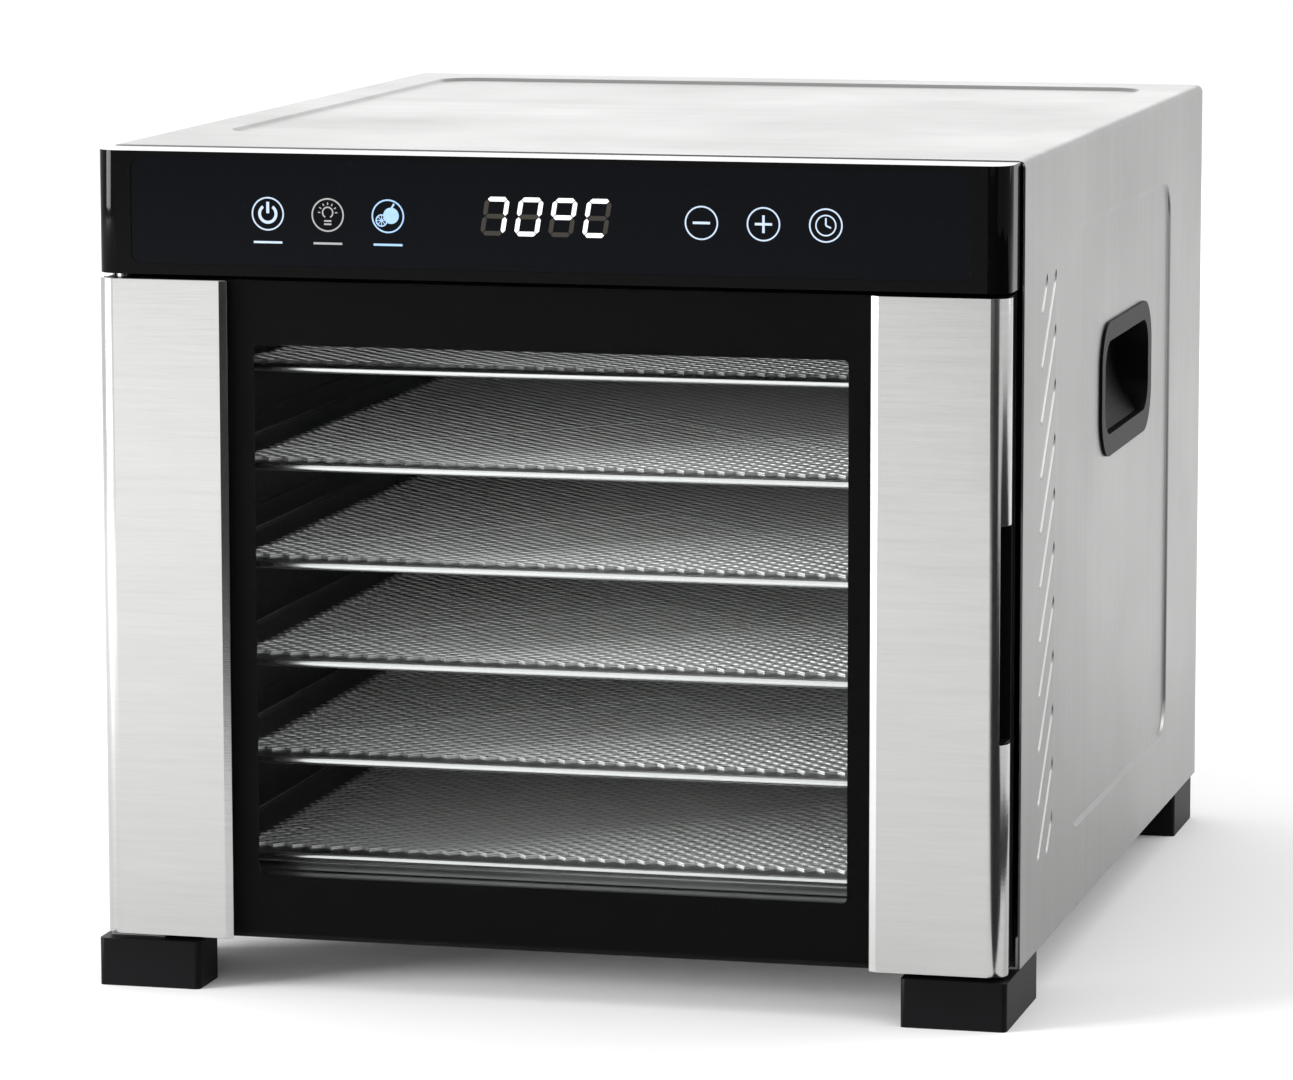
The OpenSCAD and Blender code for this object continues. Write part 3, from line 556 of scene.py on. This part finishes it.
def louvre(bm, place, start, end):
    """A lanced louvre: the sheet dips from its rear lower edge to an open slit along its front upper edge.
    Returns the edges of its opening in the sheet."""
    along = Vector(end) - Vector(start)
    length = along.length
    along.normalize()
    across = Vector((-along.y, along.x))
    taper = LOUVRE_WIDTH * 0.9
    steps = 5
    stations = []
    for i in range(steps + 1):
        angle = pi / 2 * i / steps
        stations.append((taper * (1 - cos(angle)), sin(angle)))
    stations += [(length - s, width) for s, width in reversed(stations)]
    half = LOUVRE_WIDTH / 2
    slit = []
    rows = []
    for s, width in stations:
        origin = Vector(start) + along * s
        slit_point = origin + across * half
        root_point = origin + across * (half - LOUVRE_WIDTH * width)
        slit.append(bm.verts.new(place(slit_point, 0)))
        if width < 1e-6:
            rows.append([slit[-1]] * len(LOUVRE_PROFILE))
            continue
        rows.append([
            bm.verts.new(place(root_point.lerp(slit_point, f), LOUVRE_DEPTH * width * depth))
            for f, depth in LOUVRE_PROFILE
        ])
    for k in range(1, len(rows)):
        strip(bm, rows[k - 1], rows[k])
    root = [row[0] for row in rows]
    outline = slit + root[-2:0:-1]
    edges = []
    for i in range(len(outline)):
        pair = (outline[i - 1], outline[i])
        edges.append(bm.edges.get(pair) or bm.edges.new(pair))
    return edges


def pressed_field(bm, place, low, high, radius, hole=None):
    """A field pressed into the sheet with softly rounded steps. Returns the edges of its outline."""
    # Each step's inset from the outline and its depth
    slope = ((-0.5, 0), (-0.1, 0.1), (0.25, 0.35), (0.75, 0.85), (1.1, 1.1), (1.5, FIELD_DEPTH))
    loops = []
    for inset, depth in slope:
        outline = round_rect(
            (low[0] + inset, low[1] + inset), (high[0] - inset, high[1] - inset), radius - inset, steps=10
        )
        loops.append([bm.verts.new(place(Vector(p), depth)) for p in outline])
    for a, b in zip(loops, loops[1:]):
        bridge(bm, a, b)
    floor = [bm.edges.get((loops[-1][i - 1], loops[-1][i])) for i in range(len(loops[-1]))]
    if hole:
        floor += ring_edges(bm, [bm.verts.new(place(Vector(p), FIELD_DEPTH)) for p in hole])
    bmesh.ops.triangle_fill(bm, use_beauty=True, use_dissolve=False, edges=floor)
    return [bm.edges.get((loops[0][i - 1], loops[0][i])) for i in range(len(loops[0]))]


def side_panel(bm, side, handle):
    """One side of the casing. place() turns a (y, z) point and a depth below the sheet into a vertex."""
    def place(point, depth):
        return (side * (casing_high.x - depth), point[0], point[1])

    front, rear = casing_low.y, casing_high.y
    low, top = casing_low.z, casing_high.z - BEND
    outline = [bm.verts.new(place(p, 0)) for p in ((front, low), (rear, low), (rear, top), (front, top))]
    edges = ring_edges(bm, outline)
    handle_low, handle_high = box_mm(handle)
    hole = round_rect(
        (handle_low.y + HANDLE_FLANGE, handle_low.z + HANDLE_FLANGE),
        (handle_high.y - HANDLE_FLANGE, handle_high.z - HANDLE_FLANGE),
        FIELD_RADIUS,
    )
    field_low, field_high = ((front + y, z) for y, z in SIDE_FIELD)
    edges += pressed_field(bm, place, field_low, field_high, FIELD_RADIUS, hole)
    for start, end in louvre_spans():
        edges += louvre(bm, place, start, end)
    bmesh.ops.triangle_fill(bm, use_beauty=True, use_dissolve=False, edges=edges)


def top_panel(bm):
    """The top of the casing. place() turns an (x, y) point and a depth below the sheet into a vertex."""
    def place(point, depth):
        return (point[0], point[1], casing_high.z - depth)

    front, rear = casing_low.y, casing_high.y
    reach = casing_high.x - BEND
    corners = ((-reach, front), (reach, front), (reach, rear), (-reach, rear))
    edges = ring_edges(bm, [bm.verts.new(place(p, 0)) for p in corners])
    field_low, field_high = ((x, front + y) for x, y in TOP_FIELD)
    edges += pressed_field(bm, place, field_low, field_high, FIELD_RADIUS)
    bmesh.ops.triangle_fill(bm, use_beauty=True, use_dissolve=False, edges=edges)


def bend_strip(bm, side):
    """The rounded edge between top and side, with the small relief notch at its front corner."""
    steps = 12
    notch = 1.1
    rows = {"front": [], "rear": []}
    for i in range(steps + 1):
        angle = pi / 2 * i / steps
        x = side * (casing_high.x - BEND + BEND * cos(angle))
        z = casing_high.z - BEND + BEND * sin(angle)
        reach = (i - steps / 2) / 3
        cut = notch * (1 - reach * reach) ** 0.5 if abs(reach) < 1 else 0
        rows["front"].append(bm.verts.new((x, casing_low.y + cut, z)))
        rows["rear"].append(bm.verts.new((x, casing_high.y, z)))
    strip(bm, rows["front"], rows["rear"])


def rear_lip(bm):
    """The lip bent inwards round the rear, which the rear panel is screwed to."""
    panel_front = box_mm("rear_panel")[0].y
    lip = 20
    foot_room = 14
    clearance = 0.05
    reach = casing_high.x - SHEET
    top = casing_high.z - SHEET
    low = casing_low.z + foot_room
    y = panel_front - clearance
    outer = [(-reach, low), (-reach, top), (reach, top), (reach, low)]
    inner = [(-reach + lip, low), (-reach + lip, top - lip), (reach - lip, top - lip), (reach - lip, low)]
    rows = [[bm.verts.new((x, y, z)) for x, z in line] for line in (outer, inner)]
    strip(bm, *rows)


def make_casing():
    """The sheet and its rear lip, which together stand in for the CAD casing."""
    bm = bmesh.new()
    side_panel(bm, -1, "handle_left")
    side_panel(bm, 1, "handle_right")
    top_panel(bm)
    bend_strip(bm, -1)
    bend_strip(bm, 1)
    casing = settle("casing_sheet", bm, "cabinet", "brushed_sheet", thickness=SHEET)
    bm = bmesh.new()
    rear_lip(bm)
    settle("casing_rear_lip", bm, "cabinet", "brushed_sheet", thickness=SHEET)
    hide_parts("casing")


# ---- Tray meshes: expanded steel ----

MESH_PITCH = (7.7, 8.0)
MESH_THICKNESS = 0.45
# An opening's rear corner is this much lower than the knots, and its front corner about as much higher
STRAND_TILT = 0.12
# Height of the mesh's top over the plain CAD plate's top
MESH_LIFT = 1.1
# One diamond and the opening in it, in half pitches from its centre
DIAMOND = ((1, 0), (0.5, 0.5), (0, 1), (-0.5, 0.5), (-1, 0), (0, -1))
OPENING = ((0.76, 0.03), (0.48, 0.54), (0, 0.77), (-0.48, 0.54), (-0.76, 0.03), (0, -0.80))


def expanded_mesh(width, depth):
    """Diamond openings cut in rows and pulled open. Drawn round the origin, with its top at Z = 0."""
    bm = bmesh.new()
    half_x, half_y = MESH_PITCH[0] / 2, MESH_PITCH[1] / 2
    columns = int(width / half_x)
    rows = int(depth / half_y)
    start_x = -columns * half_x / 2
    start_y = -rows * half_y / 2
    tilt = STRAND_TILT / OPENING[2][1]
    knots = {}

    def knot(x, y):
        key = (round(x * 100), round(y * 100))
        if key not in knots:
            knots[key] = bm.verts.new((x, y, 0))
        return knots[key]

    for i in range(1, columns):
        for j in range(1, rows):
            if (i + j) % 2:
                continue
            x, y = start_x + i * half_x, start_y + j * half_y
            rim = [knot(x + u * half_x, y + v * half_y) for u, v in DIAMOND]
            hole = [bm.verts.new((x + u * half_x, y + v * half_y, -tilt * v)) for u, v in OPENING]
            bridge(bm, rim, hole)
    return bm


def shared_mesh(width, depth):
    """The mesh data that all six trays share, in metres."""
    bm = expanded_mesh(width, depth)
    bmesh.ops.scale(bm, vec=(MM, MM, MM), verts=bm.verts)
    bmesh.ops.recalc_face_normals(bm, faces=bm.faces)
    if sum(f.normal.z for f in bm.faces) < 0:
        bmesh.ops.reverse_faces(bm, faces=bm.faces)
    draft = add_object("expanded_mesh", finished_mesh("expanded_mesh", bm))
    thicken(draft, MESH_THICKNESS, even=False)
    shared = draft.data
    shared.materials.append(FINISHES["mesh_steel"])
    bpy.data.objects.remove(draft)
    return shared


def make_tray_meshes():
    """One expanded mesh for each tray, in place of the plain CAD plate."""
    trays = [n for n in sorted(NODES) if n.startswith("tray_mesh_")]
    low, high = box_mm(trays[0])
    shared = shared_mesh(high.x - low.x, high.y - low.y)
    for node in trays:
        low, high = box_mm(node)
        centre = (low + high) / 2
        number = node.rsplit("_", 1)[1]
        piece = add_object("expanded_mesh_" + number, shared)
        piece.location = (centre.x * MM, centre.y * MM, (high.z + MESH_LIFT) * MM)
        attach(piece, "tray_" + number)
        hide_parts(node)


# ---- CAD nodes that stay: finish and softened edges ----

# Edge rounding in millimetres for the nodes whose edges show
EDGES = {
    "control_bezel": 0.6,
    "touch_glass": 0.25,
    "door_glass": 0.4,
    "door_pillar_left": 0.3,
    "door_pillar_right": 0.3,
    "door_frame": 0.4,
    "front_frame": 0.4,
    "handle_left": 0.5,
    "handle_right": 0.5,
    "front_feet": 1.0,
    "rear_feet": 1.0,
    "rear_vent_cover": 0.8,
    "cable_gland": 0.6,
    "rear_screws": 0.4,
    "foot_screws": 0.4,
    "drip_tray": 0.2,
}


def soften(node, radius):
    """Rounds a CAD node's sharp edges with modifiers; its mesh stays as it is."""
    piece = NODES[node]
    weld = piece.modifiers.new("weld", "WELD")
    weld.merge_threshold = 1e-6
    edge = piece.modifiers.new("edges", "BEVEL")
    edge.width = radius * MM
    edge.segments = 3
    edge.limit_method = "ANGLE"
    edge.angle_limit = radians(40)
    edge.harden_normals = True


def dress_nodes():
    """Gives each CAD node the finish its record names, and rounds the edges that show."""
    for subpart in frame["record"]["subparts"]:
        finish_with(NODES[subpart["node"]], FINISHES[subpart["material_slot"]])
    for node, radius in EDGES.items():
        soften(node, radius)


# ---- Door glass border ----

# The clear window's lower left and upper right corner, as (x, z) pairs
WINDOW = ((-112.5, 43.3), (112.5, 243.2))
BORDER_INSET = 0.3
BORDER_DEPTH = 0.1
BORDER_GAP = 0.05


def make_glass_border():
    """The black border printed on the inside of the glass, round the clear window."""
    low, high = box_mm("door_glass")
    rear = high.y - BORDER_GAP
    front = rear - BORDER_DEPTH
    bm = bmesh.new()
    outer = round_rect(
        (low.x + BORDER_INSET, low.z + BORDER_INSET), (high.x - BORDER_INSET, high.z - BORDER_INSET), 3
    )
    inner = round_rect(*WINDOW, 2)
    loops = [
        [bm.verts.new((x, y, z)) for x, z in outline]
        for y, outline in ((front, outer), (front, inner), (rear, inner), (rear, outer))
    ]
    for k in range(4):
        bridge(bm, loops[k - 1], loops[k])
    border = settle("glass_border", bm, "door", "gloss_black")
    finish_with(border, printed_black("printed_black"))


# ---- Touch keys and display ----

KEY_RADIUS = 6.2
KEY_LINE = 0.55
KEY_XS = (59, 82, 105)
KEY_Z = 292.3
# The plain mark under each of the left three keys
MARK_HALF = 5.5
MARK_Z = 281.8
MARK_WIDTH = 0.8
# Signs and digits lie this far in front of the panel, and are this thick
SIGN_LIFT = 0.03
SIGN_THICKNESS = 0.04
SEGMENT_SLANT = 0.16


def sheet_of(bm, outline, front):
    """A thin plate with the given (x, z) outline, its face at Y = front."""
    face = bm.faces.new([bm.verts.new((x, front, z)) for x, z in outline])
    grown = bmesh.ops.extrude_face_region(bm, geom=[face])
    moved = [v for v in grown["geom"] if isinstance(v, bmesh.types.BMVert)]
    bmesh.ops.translate(bm, vec=(0, SIGN_THICKNESS, 0), verts=moved)


def annulus(bm, centre, outer, inner, front, start=0, sweep=360, steps=48):
    """A ring, or part of one, drawn as short plates."""
    count = max(2, int(steps * sweep / 360))
    angles = [radians(start + sweep * i / count) for i in range(count + 1)]
    for a, b in zip(angles, angles[1:]):
        sheet_of(bm, [
            (centre[0] + outer * cos(a), centre[1] + outer * sin(a)),
            (centre[0] + outer * cos(b), centre[1] + outer * sin(b)),
            (centre[0] + inner * cos(b), centre[1] + inner * sin(b)),
            (centre[0] + inner * cos(a), centre[1] + inner * sin(a)),
        ], front)


def bar(bm, a, b, width, front):
    """A straight stroke from a to b with square ends."""
    direction = (Vector(b) - Vector(a)).normalized()
    side = Vector((-direction.y, direction.x)) * width / 2
    a, b = Vector(a), Vector(b)
    sheet_of(bm, [tuple(a - side), tuple(b - side), tuple(b + side), tuple(a + side)], front)


def disc(bm, centre, radius, front, steps=20):
    """A filled circle."""
    sheet_of(bm, [
        (centre[0] + radius * cos(2 * pi * i / steps), centre[1] + radius * sin(2 * pi * i / steps))
        for i in range(steps)
    ], front)


def power_sign(bm, centre, front):
    """An open ring with an upright stroke in its gap."""
    annulus(bm, centre, 3.7, 2.6, front, start=125, sweep=290)
    bar(bm, (centre[0], centre[1] + 0.2), (centre[0], centre[1] + 4.4), 1.1, front)


def lamp_sign(bm, centre, front):
    """A bulb with rays over its upper half, on a two-line base."""
    bulb = (centre[0], centre[1] + 0.9)
    annulus(bm, bulb, 2.2, 1.7, front, start=-60, sweep=300)
    for k in range(7):
        angle = radians(30 * k)
        bar(
            bm,
            (bulb[0] + 2.8 * cos(angle), bulb[1] + 2.8 * sin(angle)),
            (bulb[0] + 3.7 * cos(angle), bulb[1] + 3.7 * sin(angle)),
            0.4,
            front,
        )
    for drop in (2.2, 3.4):
        bar(bm, (centre[0] - 1.4, centre[1] - drop), (centre[0] + 1.4, centre[1] - drop), 0.6, front)


def fruit_sign(bm, centre, front):
    """A whole fruit with its stalk, and a slice of citrus in front of it."""
    middle = Vector((centre[0] - 2.4, centre[1] - 1.6))
    disc(bm, (centre[0] + 1.2, centre[1] + 0.2), 3.0, front)
    annulus(bm, middle, 2.3, 1.8, front)
    for k in range(4):
        angle = radians(45 * k)
        reach = Vector((cos(angle), sin(angle))) * 1.8
        bar(bm, tuple(middle - reach), tuple(middle + reach), 0.3, front)
    bar(bm, (centre[0] + 1.4, centre[1] + 3.0), (centre[0] + 2.4, centre[1] + 4.6), 0.7, front)


def minus_sign(bm, centre, front):
    """A level stroke."""
    bar(bm, (centre[0] - 3.2, centre[1]), (centre[0] + 3.2, centre[1]), 0.9, front)


def plus_sign(bm, centre, front):
    """The minus sign with half a stroke above it and half below, so that no two plates overlap."""
    minus_sign(bm, centre, front)
    bar(bm, (centre[0], centre[1] - 3.2), (centre[0], centre[1] - 0.45), 0.9, front)
    bar(bm, (centre[0], centre[1] + 0.45), (centre[0], centre[1] + 3.2), 0.9, front)


def clock_sign(bm, centre, front):
    """A ring with two hands."""
    annulus(bm, centre, 3.9, 3.4, front)
    bar(bm, centre, (centre[0], centre[1] + 2.7), 0.6, front)
    bar(bm, centre, (centre[0] + 1.9, centre[1] - 0.9), 0.6, front)


def make_key(name, sign, x, front, finish, marked):
    """One touch key: a ring round its sign, and for the left three a plain mark below it."""
    bm = bmesh.new()
    centre = (x, KEY_Z)
    annulus(bm, centre, KEY_RADIUS, KEY_RADIUS - KEY_LINE, front)
    sign(bm, centre, front)
    if marked:
        bar(bm, (x - MARK_HALF, MARK_Z), (x + MARK_HALF, MARK_Z), MARK_WIDTH, front)
    key = settle(name, bm, "cabinet", "display")
    finish_with(key, finish)


def segment_outlines(left, right, low, high, thick):
    """The seven segments of one digit, before slanting, keyed a to g as is usual."""
    middle = (low + high) / 2
    t, gap = thick, thick * 0.12

    def level(z):
        return [
            (left + gap, z), (left + t / 2 + gap, z + t / 2), (right - t / 2 - gap, z + t / 2),
            (right - gap, z), (right - t / 2 - gap, z - t / 2), (left + t / 2 + gap, z - t / 2),
        ]

    def upright(x, z_low, z_high):
        return [
            (x, z_low + gap), (x + t / 2, z_low + t / 2 + gap), (x + t / 2, z_high - t / 2 - gap),
            (x, z_high - gap), (x - t / 2, z_high - t / 2 - gap), (x - t / 2, z_low + t / 2 + gap),
        ]

    return {
        "a": level(high), "g": level(middle), "d": level(low),
        "b": upright(right, middle, high), "c": upright(right, low, middle),
        "f": upright(left, middle, high), "e": upright(left, low, middle),
    }


def make_display(front, lit_finish, painted_glow_finish):
    """Four slanted digits that show 70 degrees C."""
    digit_low, digit_high, thick = 286.9, 299.4, 1.7
    starts = (-24.0, -11.2, 1.6, 14.4)
    shown = ("abc", "abcdef", "abfg", "adef")
    width = 7.6
    lit_mesh, dark_mesh = bmesh.new(), bmesh.new()
    for start, letters in zip(starts, shown):
        left = start + thick / 2
        outlines = segment_outlines(left, left + width, digit_low, digit_high, thick)
        for letter, outline in outlines.items():
            slanted = [(x + (z - digit_low) * SEGMENT_SLANT, z) for x, z in outline]
            sheet_of(lit_mesh if letter in letters else dark_mesh, slanted, front)
    # The unlit segments carry the faint painted glow.
    for name, bm, finish in (("digits_lit", lit_mesh, lit_finish), ("digits_dark", dark_mesh, painted_glow_finish)):
        finish_with(settle(name, bm, "cabinet", "display"), finish)


def make_controls():
    """The six touch keys and the display, each with its own glow."""
    front = box_mm("touch_glass")[0].y - SIGN_LIFT
    white = lit("lit_white", (0.66, 0.8, 1.0), 1.15)
    blue = lit("lit_blue", (0.42, 0.66, 1.0), 1.25)
    # The lamp key's printed sign is given a dim painted glow.
    dim_painted_glow = lit("painted_glow_print", (0.9, 0.9, 0.9), 0.6)
    digits = lit("lit_digits", (0.97, 0.98, 1.0), 1.5)
    # The segments that are not lit get a faint painted glow, though no light is behind them.
    unlit = lit("unlit_digits_painted_glow", (1.0, 0.8, 0.55), 0.035)
    left = (
        ("key_power", power_sign, white),
        ("key_lamp", lamp_sign, dim_painted_glow),
        ("key_fruit", fruit_sign, blue),
    )
    right = (
        ("key_minus", minus_sign, white),
        ("key_plus", plus_sign, white),
        ("key_clock", clock_sign, white),
    )
    for x, (name, sign, finish) in zip(KEY_XS[::-1], left):
        make_key(name, sign, -x, front, finish, marked=True)
    for x, (name, sign, finish) in zip(KEY_XS, right):
        make_key(name, sign, x, front, finish, marked=False)
    make_display(front, digits, unlit)


# ---- Scene ----

make_camera()
make_world(1.12)
make_floor()
dark_card("card_right", (0.35, -2.0), (2.6, -2.0), height=0, depth=2.3)
dark_card("card_front", (0.185, -2.0), (0.35, -2.0), height=0, depth=1.76)
dark_card("card_upright", (-0.05, -2.0), (1.7, -2.0), height=0.9, depth=0)
softbox("key", (-2.85, -2.0, 0.62), (0, 0, 0.15), 1.5, 0.95, 215)
softbox("behind", (-0.95, 3.2, 0.95), (0, 0, 0.3), 2.4, 1.4, 10)
softbox("right", (2.2, 1.2, 1.0), (0.17, 0, 0.15), 1.1, 1.0, 12.5)
bpy.context.scene.view_settings.view_transform = "Standard"

dress_nodes()
make_casing()
make_tray_meshes()
make_glass_border()
make_controls()
